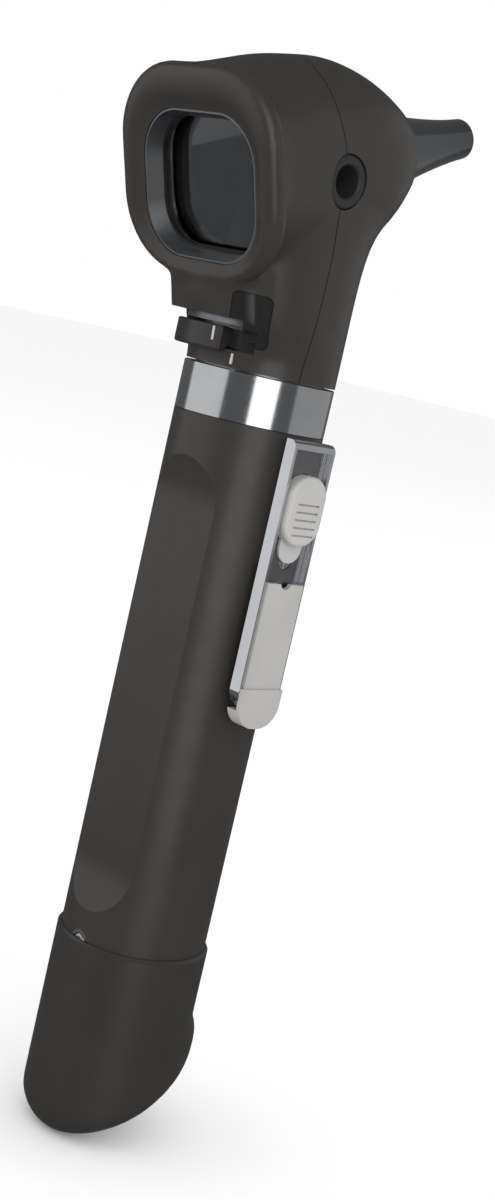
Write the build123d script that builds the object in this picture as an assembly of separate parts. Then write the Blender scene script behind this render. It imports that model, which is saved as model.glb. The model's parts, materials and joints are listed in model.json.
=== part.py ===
"""Pocket otoscope: instrument head, battery handle with pocket clip, and tail cap.

Frame: millimetres, +Z up along the handle axis towards the head, the eyepiece looks
towards -Y, the speculum points towards +Y and up, the pocket clip is on +X.
The origin is on the handle axis, in the plane of the tail cap's rim.
"""
from build123d import *
from math import cos, radians, sin, sqrt, tan
import os

# ---------------------------------------------------------------- driving dimensions
# handle
HANDLE_R = 11.0            # outer radius of the tube, the collar and the neck of the head
HANDLE_LENGTH = 78.5       # visible tube, from the cap's rim to the collar
CELL_ROOM = 0.4            # cell and liner to the tube's bore
SPIGOT_WALL = 1.5          # wall of the cap and of the collar over the tube's spigots
TOP_SPIGOT_LENGTH = 2.5
COLLAR_HEIGHT = 7.0
CELL_R = 7.2               # AA cell
CELL_LENGTH = 50.5         # AA cell over its button
CELL_BUTTON_R = 2.6
CELL_BUTTON_HEIGHT = 1.0
LINER_WALL = 0.35
GRIP_FLAT_DEPTH = 1.9      # thumb flat on the eyepiece side
GRIP_FLAT_TOP = 6.0        # below the collar
GRIP_FLAT_BOTTOM = 4.5     # above the cap's rim
GRIP_FLAT_END_R = 14.0     # radius of the cutter that runs out at each end of the flat

# tail cap
CAP_PROUD = 0.45           # cap outside the tube
CAP_WALL = 1.4
CAP_CAVITY = 14.2          # depth of the wide bore, over the lower spigot
CAP_SLANT = 38.0           # degrees, slope of the slanted end
CAP_END_DROP = 26.6        # where the slanted end crosses the axis, below the rim
CAP_HEEL_SHIFT = 1.3       # how far the finger ridge stands out at the front
CAP_HEEL_TOP = 12.4        # top of the finger ridge, below the rim
CAP_NOSE_R = 5.5           # rounding of the lowest corner
SPRING_SPACE = 3.0         # room for the tail spring under the lower cell
SPRING_R = 4.6
SPRING_WIRE_R = 0.35
CATCH_R = 1.15             # sprung catch pin at the rim
CATCH_BUSH_R = 1.75
CATCH_DROP = 0.5           # centre of the pin, below the rim
CATCH_TRAVEL = 0.8
TAIL_CONTACT_THICK = 0.45

# pocket clip and switch
CLIP_TOP_GAP = 0.35        # clip to collar
CLIP_LENGTH = 38.8         # channel
CLIP_WIDTH = 8.4
CLIP_GAP = 1.0             # room for the pocket's edge between the tube and the clip
CLIP_DEPTH = 1.9           # height of the channel's side rails
CLIP_SHEET = 0.5
SADDLE_LENGTH = 18.5       # where the channel reaches down to the tube
SADDLE_WIDTH = 4.4         # width of the saddle's foot on the tube
COVER_OVERHANG = 2.6       # cover, past the channel's lower end
COVER_GAP = 0.6            # slider at the end of its travel to the cover
SLIDER_LENGTH = 10.0
SLIDER_WIDTH = 7.0
SLIDER_DROP = 4.6          # top of the slider, below the clip's top
SLIDER_TRAVEL = 5.0
SLIDER_PROUD = 1.1         # above the rails
STEM_R = 0.9
TONGUE_LENGTH = 2.7        # thin end of the slider that runs under the cover
TONGUE_WIDTH = 4.6
TONGUE_THICK = 0.4

# head
OPTICAL_TILT = 20.0        # degrees, speculum up
OPTICAL_HEIGHT = 29.8      # optical axis above the seat, on the handle axis
SHELL_WALL = 1.6
SEAT_GAP = 0.25            # line between the collar and the head
SEAM_Y = -2.8              # plane where the two shells meet, in the neck
SEAM_BEND = 28.0           # above the seat; from here up the seam is square to the optical axis
SEAM_GAP = 0.16
PLATE_RIM_SIDE = 4.2       # eyepiece plate outside the window, at the sides
PLATE_RIM_ENDS = 4.15      # and above and below
PLATE_LIFT = 1.7           # centre of the plate above the optical axis
PLATE_CORNER = 10.5
PLATE_BACK = 21.7          # rear face of the plate behind the handle axis
PLATE_THICK = 3.4
WINDOW_WIDTH = 22.0
WINDOW_HEIGHT = 19.9
WINDOW_CORNER = 7.0
BEZEL_RECESS = 1.2         # bezel below the rear face of the plate
BEZEL_DEPTH = 2.5
BEZEL_SLOPE = 0.35         # how much narrower the bezel gets on each side
BEZEL_WALL = 0.5           # at the front edge
LENS_THICK = 1.2
NOSE_END = 15.7            # front of the nose, ahead of the handle axis
SPECULUM_END = 33.3
SPECULUM_TIP_R = 3.0
SPECULUM_BASE_R = 6.3
SPECULUM_WALL = 0.8
PORT_R = 3.7               # rubber grommet of the insufflator port
PORT_BORE_R = 2.25
PORT_HEIGHT = 28.1

# lock lever
LEVER_LOW = 2.8            # above the seat
LEVER_HEIGHT = 2.7
LEVER_PROUD = 2.1          # outside the neck
LEVER_SPAN = 61.0          # degrees
LEVER_MIDDLE = -105.0      # azimuth of the tab's middle at rest, from +X
LEVER_TRAVEL = 12.0        # degrees
LEVER_ROOM = 1.3           # above the lever, to the slot's upper edge
LEVER_SLACK = (6.5, 2.0)   # degrees, slot past the tab at each end of its travel

# clearances
FIT = 0.05                 # running and sliding fits
TRIM_GAP = 0.08            # around inlaid trim
TIP_GAP = 0.15             # speculum to its seat

# ---------------------------------------------------------------- worked out from them
SEAT = HANDLE_LENGTH + COLLAR_HEIGHT
SPIGOT_R = HANDLE_R - SPIGOT_WALL
TUBE_BORE_R = CELL_R + LINER_WALL + CELL_ROOM
CAP_R = HANDLE_R + CAP_PROUD
CAP_BORE_R = CAP_R - CAP_WALL
LOWER_SPIGOT_R = CAP_BORE_R - FIT
LOWER_SPIGOT_LENGTH = CAP_CAVITY - 0.2
CAP_FLOOR = CAP_CAVITY + SPRING_SPACE
CELL_FOOT = -CAP_CAVITY
CELL_TOP = CELL_FOOT + 2 * CELL_LENGTH
CLIP_TOP = HANDLE_LENGTH - CLIP_TOP_GAP
CLIP_FACE = HANDLE_R + CLIP_GAP
RAIL_TOP = CLIP_FACE + CLIP_DEPTH
SLIDER_TOP = CLIP_TOP - SLIDER_DROP
SLIDER_MID = SLIDER_TOP - SLIDER_LENGTH / 2
COVER_FOOT = CLIP_TOP - CLIP_LENGTH - COVER_OVERHANG
COVER_TOP = SLIDER_TOP - SLIDER_LENGTH - SLIDER_TRAVEL - COVER_GAP
SLEEVE_R = SPIGOT_R - FIT
SLEEVE_BORE_R = TUBE_BORE_R + 0.05
RING_R = SLEEVE_R + 0.75
PLATE_WIDTH = WINDOW_WIDTH + 2 * PLATE_RIM_SIDE
PLATE_HEIGHT = WINDOW_HEIGHT + 2 * PLATE_RIM_ENDS
WINDOW_TOP = LEVER_LOW + LEVER_HEIGHT + LEVER_ROOM
TILT = radians(OPTICAL_TILT)
OPTICAL_POINT = Vector(0, 0, SEAT + OPTICAL_HEIGHT)
OPTICAL_AXIS = Vector(0, cos(TILT), sin(TILT))
OPTICAL_UP = Vector(0, -sin(TILT), cos(TILT))

# ---------------------------------------------------------------- fixed places
PLUG_LENGTH = 4.2
SLEEVE_TOP = 12.0
STEM_HEIGHT = SLIDER_MID + 0.4
STEM_SLOT = (STEM_HEIGHT - SLIDER_TRAVEL - STEM_R - 0.3, STEM_HEIGHT + STEM_R + 0.3)
SCREW_HEIGHTS = (STEM_SLOT[1] + 2.1, STEM_SLOT[0] - 1.5)
SCREW_R = 0.8
SCREW_HEAD_R = 1.35
TRACK_THICK = 0.45
CONTACT_FLOOR = TUBE_BORE_R + 0.9
WIPER_TOP = CONTACT_FLOOR + 0.95
CONTACT_WELL = (STEM_SLOT[0] - 0.4, STEM_SLOT[1] + 0.4)
SEAL_R = 0.6
SEAL_DROP = 6.0
SEAL_SQUASH = 1.15
CATCH_FLOOR = TUBE_BORE_R + 0.8
CATCH_PLATE = 0.3
CATCH_FOOT = CATCH_FLOOR + CATCH_PLATE + 0.05 + CATCH_TRAVEL
CATCH_SPRING_R = 0.6
CATCH_WIRE_R = 0.09
CAP_NOSE_START = 0.3       # the rounding's straight flank, outside the cap
CAP_RIM_ROUND = 0.45
BARREL_SECTIONS = (         # ahead of the handle axis, half width, half height, lift
    (-18.6, 13.8, 14.0, 1.6), (-17.0, 13.0, 14.0, 1.4), (-14.0, 12.3, 14.5, 0.9), (-9.0, 11.7, 15.0, 0.4),
    (-3.25, 11.0, 14.9, 0.0), (2.0, 10.8, 14.3, 0.0), (7.0, 10.3, 12.7, 0.0), (11.0, 9.3, 10.6, 0.0),
    (14.0, 8.0, 8.6, 0.0), (NOSE_END, 6.9, 7.1, 0.0))
NECK_SECTIONS = (           # above the seat, half width and half depth outside the tube's radius, shift back
    (2.4, 0.0, 0.0, 0.0), (7.0, 0.15, 1.85, 1.55), (12.0, 0.35, 3.35, 2.85), (18.0, 0.3, 3.85, 2.95),
    (22.5, -0.1, 4.15, 1.85), (26.0, -0.4, 5.2, 0.3), (29.0, -0.8, 5.8, -0.95))
NOSE_BORE_R = SPECULUM_BASE_R + 0.3
LEVER_START = LEVER_MIDDLE - LEVER_SPAN / 2
LEVER_END = LEVER_MIDDLE + LEVER_SPAN / 2
LEVER_WINDOW = (LEVER_START - LEVER_SLACK[0], LEVER_END + LEVER_TRAVEL + LEVER_SLACK[1])
SIDE_SLOT = (LEVER_WINDOW[1] - 0.5, LEVER_WINDOW[1] + 7.5)
GUIDE_R = HANDLE_R + 0.9
MARK_WIDTH = 0.34
SHELL_MARK_AZIMUTH = -68.7
LEVER_MARK_AZIMUTH = -80.5
BADGE_AZIMUTH = -58.0
BADGE_MIDDLE = 7.0
BADGE_WIDTH = 5.2
BADGE_HEIGHT = 7.0
BADGE_THICK = 0.6
HEAD_SCREW_X = HANDLE_R - 1.8
HEAD_SCREWS = ((HEAD_SCREW_X, 14.0), (-HEAD_SCREW_X, 14.0))
HEAD_SCREW_R = 0.7
FRAME_DEPTH = 2.4
BEZEL_START = BEZEL_RECESS - PLATE_BACK
WINDOW_END = BEZEL_START + BEZEL_DEPTH + FRAME_DEPTH + 0.1
FRAME_LIP = 0.6
LENS_DOME_R = 110.0
PORT_FACE = 10.6
PORT_PROUD = 0.45
PORT_NECK_R = 3.2
SPECULUM_FOOT = 12.6
SPECULUM_FLARE = 1.5
HOLDER_END = 28.2
HOLDER_BORE_R = 1.55
FLANGE_BACK = 8.6
FLANGE_R = 7.3
GUIDE_END_DROP = 3.6


def optical_plane(ahead):
    """Plane square to the optical axis, 'ahead' of the handle axis, its y pointing up."""
    return Plane(origin=OPTICAL_POINT + OPTICAL_AXIS * ahead, x_dir=(-1, 0, 0), z_dir=OPTICAL_AXIS)


def cylinder(radius, low, high):
    """Upright solid cylinder on the handle axis."""
    return Pos(0, 0, low) * extrude(Circle(radius), high - low)


def tube(outer, inner, low, high):
    return cylinder(outer, low, high) - cylinder(inner, low - 1, high + 1)


def box(x, y, z):
    """Box from its (low, high) spans."""
    size = [span[1] - span[0] for span in (x, y, z)]
    middle = [(span[1] + span[0]) / 2 for span in (x, y, z)]
    return Pos(*middle) * Box(*size)


def sector(inner, outer, low, high, start, end):
    """Part of a ring between two azimuths, in degrees from +X."""
    profile = Plane.XZ * Pos((inner + outer) / 2, (low + high) / 2) * Rectangle(outer - inner, high - low)
    return Rot(0, 0, start) * revolve(profile, Axis.Z, end - start)


def optical_round(points):
    """Solid of revolution round the optical axis from (radius, ahead) points."""
    side = Plane(origin=OPTICAL_POINT, x_dir=OPTICAL_UP, z_dir=(-1, 0, 0))
    face = side * make_face(Polyline(*points, close=True))
    return revolve(face, Axis(OPTICAL_POINT, OPTICAL_AXIS), 360)


def rounded_slab(width, height, corner, low, high, lift=0.0):
    """Rounded rectangle square to the optical axis, from 'low' to 'high' ahead."""
    sketch = Pos(0, lift) * RectangleRounded(width, height, corner)
    return extrude(optical_plane(low) * sketch, high - low)


def height(above_seat):
    return SEAT + above_seat


# ---------------------------------------------------------------- handle
def make_handle_tube():
    body = cylinder(HANDLE_R, 0, HANDLE_LENGTH)
    body += cylinder(LOWER_SPIGOT_R, -LOWER_SPIGOT_LENGTH, 0)
    body += cylinder(SPIGOT_R - FIT, HANDLE_LENGTH, HANDLE_LENGTH + TOP_SPIGOT_LENGTH)
    body -= cylinder(TUBE_BORE_R, -LOWER_SPIGOT_LENGTH - 1, SEAT)
    top = HANDLE_LENGTH - GRIP_FLAT_TOP
    low = GRIP_FLAT_BOTTOM
    reach = 2 * HANDLE_R
    cutter = box((-reach, reach), (-reach - HANDLE_R, GRIP_FLAT_DEPTH - HANDLE_R), (low - 20, top + 20))
    for end, turn in ((top, 1), (low, -1)):
        run_out = sqrt(GRIP_FLAT_END_R ** 2 - (GRIP_FLAT_END_R - GRIP_FLAT_DEPTH) ** 2)
        start = end - turn * run_out
        keep = box((-reach, reach), (-reach - HANDLE_R, 0), sorted((start, end + turn * 30)))
        roll_y = GRIP_FLAT_DEPTH - HANDLE_R - GRIP_FLAT_END_R
        roll = Pos(0, roll_y, start) * Rot(0, 90, 0) * Cylinder(GRIP_FLAT_END_R, 4 * reach)
        cutter -= keep - roll
    body -= cutter
    body -= box((0, HANDLE_R + 1), (-STEM_R - 0.2, STEM_R + 0.2), STEM_SLOT)
    body -= box((CONTACT_FLOOR, HANDLE_R + 1), (-1.7, 1.7), CONTACT_WELL)
    for z in SCREW_HEIGHTS:
        body -= Pos(HANDLE_R, 0, z) * Rot(0, 90, 0) * Cylinder(SCREW_R, 4)
    body -= Pos(0, -LOWER_SPIGOT_R, -CATCH_DROP) * Rot(90, 0, 0) * Cylinder(CATCH_BUSH_R + 0.02, 6)
    ring_cut = tube(LOWER_SPIGOT_R + 1, LOWER_SPIGOT_R - SEAL_SQUASH, -SEAL_DROP - 0.7, -SEAL_DROP + 0.7)
    return body - ring_cut


def make_collar():
    ring = tube(HANDLE_R, SPIGOT_R, HANDLE_LENGTH, SEAT)
    outer_edges = ring.edges().filter_by(GeomType.CIRCLE).group_by(SortBy.RADIUS)[-1]
    return chamfer(outer_edges, 0.12)


def make_cell(foot):
    body_top = foot + CELL_LENGTH - CELL_BUTTON_HEIGHT
    can = fillet(cylinder(CELL_R, foot, body_top).edges().filter_by(GeomType.CIRCLE), 0.5)
    return can + cylinder(CELL_BUTTON_R, body_top, body_top + CELL_BUTTON_HEIGHT)


def make_seal():
    middle = LOWER_SPIGOT_R - SEAL_SQUASH + SEAL_R
    return Pos(0, 0, -SEAL_DROP) * Torus(middle, SEAL_R)


def coil(radius, wire_r, rise, turns):
    """Open spring standing on z = 0, its wire's centre line starting there."""
    path = Helix(pitch=rise / turns, height=rise, radius=radius)
    profile = Plane(origin=path @ 0, z_dir=path % 0) * Circle(wire_r)
    return sweep(profile, path, is_frenet=True)


def make_catch():
    """Bush pressed into the tube, the sprung pin in it, and the spring in the pin's bore."""
    face = Plane(origin=(0, 0, -CATCH_DROP), x_dir=(1, 0, 0), z_dir=(0, -1, 0))
    barrel_start = CATCH_FLOOR + CATCH_PLATE
    bush = face * Pos(0, 0, CATCH_FLOOR) * extrude(Circle(CATCH_BUSH_R) - Circle(CATCH_R / 2), CATCH_PLATE)
    bush_ring = Circle(CATCH_BUSH_R) - Circle(CATCH_R + FIT)
    bush += face * Pos(0, 0, barrel_start) * extrude(bush_ring, HANDLE_R - 0.1 - barrel_start)
    pin = face * Pos(0, 0, CATCH_FOOT) * extrude(Circle(CATCH_R), HANDLE_R - CATCH_FOOT)
    outer_edge = pin.edges().filter_by(GeomType.CIRCLE).sort_by(Axis.Y)[0]
    pin = fillet(outer_edge, 0.4)
    spring_bore = CATCH_SPRING_R + CATCH_WIRE_R + 0.1
    pin -= face * Pos(0, 0, CATCH_FOOT) * extrude(Circle(spring_bore), 0.65)
    pressed = 0.65 - 2 * CATCH_WIRE_R - 0.06
    spring = face * Pos(0, 0, barrel_start + CATCH_WIRE_R + 0.03) * coil(CATCH_SPRING_R, CATCH_WIRE_R, pressed, 2)
    return bush, pin, spring


# ---------------------------------------------------------------- tail cap
def make_tail_cap():
    body = cylinder(CAP_R, -60, 0)
    heel = Pos(0, CAP_HEEL_SHIFT, 0) * cylinder(CAP_R, -60, -CAP_HEEL_TOP)
    heel_rim = heel.edges().filter_by(GeomType.CIRCLE).sort_by(Axis.Z)[-1]
    body += fillet(heel_rim, CAP_HEEL_SHIFT)
    rim = body.faces().sort_by(Axis.Z)[-1].edges()
    body = fillet(rim, CAP_RIM_ROUND)
    body &= cap_envelope()
    body -= cylinder(CAP_BORE_R, -CAP_CAVITY, 1)
    body -= cylinder(SPRING_R + SPRING_WIRE_R + 1.4, -CAP_FLOOR, 1)
    pocket = CATCH_BUSH_R + 0.25
    body -= box((-pocket, pocket), (-HANDLE_R - 0.06, 0), (-CATCH_DROP - pocket, 1))
    return body


def cap_envelope():
    """Prism along X whose side view is the cap's: slanted end, rounded at its lowest corner."""
    reach = 3 * CAP_R
    slope = tan(radians(CAP_SLANT))
    back = -CAP_R - CAP_NOSE_START
    outline = make_face(Polyline(
        (back, reach), (back, back * slope - CAP_END_DROP), (reach, reach * slope - CAP_END_DROP), (reach, reach),
        close=True))
    outline = fillet(outline.vertices().sort_by(Axis.Y)[0], CAP_NOSE_R)
    side = Plane(origin=(-reach, 0, 0), x_dir=(0, 1, 0), z_dir=(1, 0, 0))
    return extrude(side * outline, 2 * reach)


def make_tail_spring():
    rise = SPRING_SPACE - TAIL_CONTACT_THICK - 2 * SPRING_WIRE_R - 0.15
    spring = coil(SPRING_R, SPRING_WIRE_R, rise, 2.25)
    return Pos(0, 0, TAIL_CONTACT_THICK + SPRING_WIRE_R + 0.07 - CAP_FLOOR) * spring


# ---------------------------------------------------------------- clip and switch
def clip_outline(width, top, foot, end_r):
    """Long face of the clip, seen along the clip's depth: square top, rounded foot."""
    length = top - foot
    sketch = Pos(0, foot + length / 2) * Rectangle(width, length)
    return fillet(sketch.vertices().sort_by(Axis.Y)[:2], end_r)


def on_clip(sketch, low, high):
    """Extrude a (y, z) sketch from x = low to x = high."""
    side = Plane(origin=(low, 0, 0), x_dir=(0, 1, 0), z_dir=(1, 0, 0))
    return extrude(side * sketch, high - low)


def make_clip_channel():
    foot = CLIP_TOP - CLIP_LENGTH
    body = on_clip(clip_outline(CLIP_WIDTH, CLIP_TOP, foot, 2.6), CLIP_FACE, RAIL_TOP)
    top_edge = body.edges().filter_by(Axis.Y).sort_by(Axis.Z)[-2:].sort_by(Axis.X)[-1]
    body = fillet(top_edge, 1.1)
    inside = CLIP_WIDTH - 2 * CLIP_SHEET
    body -= on_clip(clip_outline(inside, CLIP_TOP - 1.2, foot + CLIP_SHEET, 2.1), CLIP_FACE + CLIP_SHEET, RAIL_TOP + 1)
    half_foot = SADDLE_WIDTH / 2
    half_top = CLIP_WIDTH / 2
    wedge = Polyline(
        (HANDLE_R - 1.2, half_foot), (CLIP_FACE + 0.2, half_top), (CLIP_FACE + 0.2, -half_top),
        (HANDLE_R - 1.2, -half_foot), close=True)
    saddle = Pos(0, 0, CLIP_TOP - SADDLE_LENGTH) * extrude(make_face(wedge), SADDLE_LENGTH)
    body += saddle - cylinder(HANDLE_R, 0, SEAT)
    body -= box((0, RAIL_TOP), (-STEM_R - 0.2, STEM_R + 0.2), STEM_SLOT)
    for z in SCREW_HEIGHTS:
        body -= Pos(HANDLE_R, 0, z) * Rot(0, 90, 0) * Cylinder(SCREW_R, 8)
    return body


def make_clip_track():
    low = CLIP_FACE + CLIP_SHEET
    inside = CLIP_WIDTH - 2 * CLIP_SHEET - 2 * FIT
    plate = on_clip(clip_outline(inside, CLIP_TOP - 1.3, CLIP_TOP - CLIP_LENGTH + 0.6, 2.0), low, low + TRACK_THICK)
    plate -= box((0, RAIL_TOP), (-STEM_R - 0.2, STEM_R + 0.2), STEM_SLOT)
    for z in SCREW_HEIGHTS:
        plate -= Pos(low, 0, z) * Rot(0, 90, 0) * Cylinder(SCREW_HEAD_R + 0.1, 8)
    return plate


def make_clip_cover():
    low = CLIP_FACE + CLIP_SHEET + TRACK_THICK + 0.02
    inside = CLIP_WIDTH - 2 * CLIP_SHEET - 2 * FIT
    channel_foot = CLIP_TOP - CLIP_LENGTH
    body = on_clip(clip_outline(inside, COVER_TOP, channel_foot + CLIP_SHEET + FIT, 2.0), low, RAIL_TOP + 0.35)
    tail = clip_outline(CLIP_WIDTH - 0.2, channel_foot + 3.2, COVER_FOOT, 3.6)
    body += on_clip(tail, RAIL_TOP + 0.03, RAIL_TOP + 0.6)
    lip = on_clip(tail, CLIP_FACE + 0.1, RAIL_TOP + 0.1)
    body += lip & box((0, 30), (-10, 10), (0, channel_foot - 0.05))
    body -= Pos(RAIL_TOP, 0, COVER_TOP + 0.4) * Rot(0, 90, 0) * Cylinder(1.15, 8)
    tongue_end = SLIDER_TOP - SLIDER_LENGTH - SLIDER_TRAVEL - TONGUE_LENGTH - 0.2
    half = TONGUE_WIDTH / 2 + 0.15
    return body - box((low - 1, low + TONGUE_THICK + 0.15), (-half, half), (tongue_end, COVER_TOP + 1))


def make_slider():
    low = CLIP_FACE + CLIP_SHEET + TRACK_THICK + FIT
    high = RAIL_TOP + SLIDER_PROUD
    pad = Pos(0, SLIDER_MID) * RectangleRounded(SLIDER_WIDTH, SLIDER_LENGTH, 3.2)
    body = on_clip(pad, low, high)
    body = fillet(body.faces().sort_by(Axis.X)[-1].edges(), 0.6)
    for i in range(5):
        z = SLIDER_MID + 1.0 - i * 1.1
        body -= box((high - 0.3, high + 1), (-2.2, 2.2), (z - 0.13, z + 0.13))
    tongue = Pos(0, SLIDER_MID - SLIDER_LENGTH / 2) * RectangleRounded(TONGUE_WIDTH, 2 * TONGUE_LENGTH, 2.2)
    body += on_clip(tongue, low, low + TONGUE_THICK)
    stem = Plane(origin=(WIPER_TOP + 0.02, 0, STEM_HEIGHT), z_dir=(1, 0, 0)) * Circle(STEM_R)
    return body + extrude(stem, high - 0.5 - WIPER_TOP)


def make_switch_contacts():
    wiper = box((WIPER_TOP - 0.4, WIPER_TOP), (-1.4, 1.4), (STEM_HEIGHT - 1.2, STEM_HEIGHT + 1.2))
    strip = box((CONTACT_FLOOR + 0.02, CONTACT_FLOOR + 0.32), (-1.5, 1.5), (CONTACT_WELL[0] + 0.2, CONTACT_WELL[1] - 0.2))
    return wiper, strip


def make_clip_screws():
    low = HANDLE_R - 1.9
    head_seat = CLIP_FACE + CLIP_SHEET
    screws = []
    for z in SCREW_HEIGHTS:
        shank = Pos((low + head_seat) / 2, 0, z) * Rot(0, 90, 0) * Cylinder(SCREW_R - 0.05, head_seat - low)
        head = Pos(head_seat + 0.2, 0, z) * Rot(0, 90, 0) * Cylinder(SCREW_HEAD_R, 0.4)
        slot = box((head_seat + 0.25, head_seat + 1), (-0.15, 0.15), (z - 2, z + 2))
        screws.append(shank + head - slot)
    return screws


# ---------------------------------------------------------------- head shells
def barrel(inset):
    """Body of the head along the optical axis, shrunk by 'inset' all round."""
    sections = []
    for ahead, half_width, half_height, lift in BARREL_SECTIONS:
        shape = Pos(0, lift) * Ellipse(half_width - inset, half_height - inset)
        sections.append(optical_plane(ahead) * shape)
    return loft(sections)


def neck(inset):
    """Neck of the head, from the round foot to the flare under the eyepiece."""
    sections = []
    for above, extra_x, extra_y, back in NECK_SECTIONS:
        shape = Ellipse(HANDLE_R + extra_x - inset, HANDLE_R + extra_y - inset)
        sections.append(Pos(0, -back, height(above)) * shape)
    foot = cylinder(HANDLE_R - inset, height(SEAT_GAP), height(NECK_SECTIONS[0][0]))
    return loft(sections) + foot


def make_head_outer():
    plate = rounded_slab(PLATE_WIDTH, PLATE_HEIGHT, PLATE_CORNER, -PLATE_BACK, PLATE_THICK - PLATE_BACK, PLATE_LIFT)
    ends = plate.faces().sort_by(Axis(OPTICAL_POINT, OPTICAL_AXIS))
    plate = fillet(ends[0].edges(), 2.6)
    ends = plate.faces().sort_by(Axis(OPTICAL_POINT, OPTICAL_AXIS))
    plate = fillet(ends[-1].edges(), 1.4)
    return barrel(0) + neck(0) + plate


def make_head_shells():
    shell = make_head_outer()
    hollow = barrel(SHELL_WALL) + (neck(SHELL_WALL) & cylinder(40, height(WINDOW_TOP + 1.2), height(40)))
    shell -= hollow & extrude(optical_plane(WINDOW_END) * Rectangle(80, 80), 80)
    shell -= cylinder(SPIGOT_R, SEAT, height(SLEEVE_TOP + 0.2))
    shell -= tube(RING_R + 0.15, SPIGOT_R - 1, height(LEVER_LOW - 0.2), height(LEVER_LOW + LEVER_HEIGHT + 0.2))
    shell -= lever_openings(0)
    guide_room = sector(SPIGOT_R - 1, GUIDE_R + 0.15, height(WINDOW_TOP - 1), height(WINDOW_TOP + 1.4), *LEVER_WINDOW)
    shell -= guide_room
    shell -= rounded_slab(WINDOW_WIDTH, WINDOW_HEIGHT, WINDOW_CORNER, -PLATE_BACK - 2, WINDOW_END + 0.1)
    shell -= optical_round([(0, 10), (NOSE_BORE_R, 10), (NOSE_BORE_R, NOSE_END + 5), (0, NOSE_END + 5)])
    along_x = Plane(origin=(0, SEAM_Y, height(PORT_HEIGHT)), x_dir=(0, 1, 0), z_dir=(1, 0, 0))
    shell -= along_x * extrude(Circle(PORT_NECK_R + TRIM_GAP), 30)
    shell -= along_x * Pos(0, 0, PORT_FACE - 1.2) * extrude(Circle(PORT_R + TRIM_GAP), 30)
    shell -= badge_prism(TRIM_GAP) & (neck(-1) - neck(BADGE_THICK))
    shell -= index_prism(0.02)
    for place in HEAD_SCREWS:
        shell -= screw_at(place, HEAD_SCREW_R, 6, 0)
    front = shell & seam_block(0)
    rear = shell - seam_block(-SEAM_GAP)
    return rear, front


def lever_openings(grow):
    """Slot that the lever's tab sticks out of, and its narrow run-on under the badge."""
    low = height(LEVER_LOW - 0.2) - grow
    main = sector(SPIGOT_R - 1, 30, low, height(WINDOW_TOP) + grow, LEVER_WINDOW[0], LEVER_WINDOW[1] + grow * 5)
    return main + sector(SPIGOT_R - 1, 30, low, height(LEVER_LOW + 1.4) + grow, *SIDE_SLOT)


def seam_block(shift):
    """Everything in front of the seam, the seam moved back by 'shift'."""
    bend = height(SEAM_BEND)
    top = height(80)
    y = SEAM_Y + shift
    outline = Polyline(
        (y, SEAT - 5), (y, bend), (y - tan(TILT) * (top - bend), top), (80, top), (80, SEAT - 5), close=True)
    side = Plane(origin=(-60, 0, 0), x_dir=(0, 1, 0), z_dir=(1, 0, 0))
    return extrude(side * make_face(outline), 120)


def screw_at(place, radius, length, start):
    """Cylinder along +Y at an (x, above seat) place, starting from the seam."""
    x, above = place
    face = Plane(origin=(x, SEAM_Y + start, height(above)), x_dir=(1, 0, 0), z_dir=(0, 1, 0))
    return face * extrude(Circle(radius), length)


def badge_prism(grow):
    """Rounded rectangle seen square on at the badge, as long as the head is deep."""
    turn = radians(BADGE_AZIMUTH)
    face = Plane(origin=(0, 0, height(BADGE_MIDDLE)), x_dir=(-sin(turn), cos(turn), 0), z_dir=(cos(turn), sin(turn), 0))
    outline = RectangleRounded(BADGE_WIDTH + 2 * grow, BADGE_HEIGHT + 2 * grow, 0.9)
    return face * Pos(0, 0, 5) * extrude(outline, 20)


def index_prism(grow):
    """Inlaid index line on the shell under the lever's slot."""
    line = box((HANDLE_R - 0.5, HANDLE_R + 0.04), (-MARK_WIDTH / 2 - grow, MARK_WIDTH / 2 + grow),
               (height(0.7) - grow, height(LEVER_LOW - 0.35) + grow))
    return Rot(0, 0, SHELL_MARK_AZIMUTH) * line


# ---------------------------------------------------------------- eyepiece
def window_slab(shrink, low, high):
    """Slab with the window's outline, 'shrink' smaller all round."""
    return rounded_slab(WINDOW_WIDTH - 2 * shrink, WINDOW_HEIGHT - 2 * shrink, WINDOW_CORNER - shrink, low, high)


def make_eyepiece():
    """Bezel, lens frame behind it, gasket and lens, from the rear face inwards."""
    bezel_end = BEZEL_START + BEZEL_DEPTH
    throat = TRIM_GAP + BEZEL_WALL + BEZEL_SLOPE
    bezel = window_slab(TRIM_GAP, BEZEL_START, bezel_end)
    sections = []
    for shrink, ahead in ((TRIM_GAP + BEZEL_WALL / 2, BEZEL_START - 0.01), (throat, bezel_end + 0.01)):
        outline = RectangleRounded(WINDOW_WIDTH - 2 * shrink, WINDOW_HEIGHT - 2 * shrink, WINDOW_CORNER - shrink)
        sections.append(optical_plane(ahead) * outline)
    bezel -= loft(sections)
    frame_start = bezel_end + 0.02
    frame_end = frame_start + FRAME_DEPTH
    seat = frame_start + FRAME_LIP
    opening = throat + 0.4
    rim = throat - 0.4
    frame = window_slab(TRIM_GAP, frame_start, frame_end)
    frame -= window_slab(opening, frame_start - 1, frame_end + 1)
    frame -= window_slab(rim, seat, frame_end + 1)
    gasket = window_slab(rim + 0.05, seat, seat + 0.4) - window_slab(opening, seat - 1, seat + 1)
    lens_low = seat + 0.42
    lens = window_slab(rim + 0.1, lens_low, lens_low + LENS_THICK)
    dome_centre = OPTICAL_POINT + OPTICAL_AXIS * (lens_low + LENS_DOME_R)
    lens = lens & Pos(*dome_centre) * Sphere(LENS_DOME_R)
    return bezel, frame, gasket, lens


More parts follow.
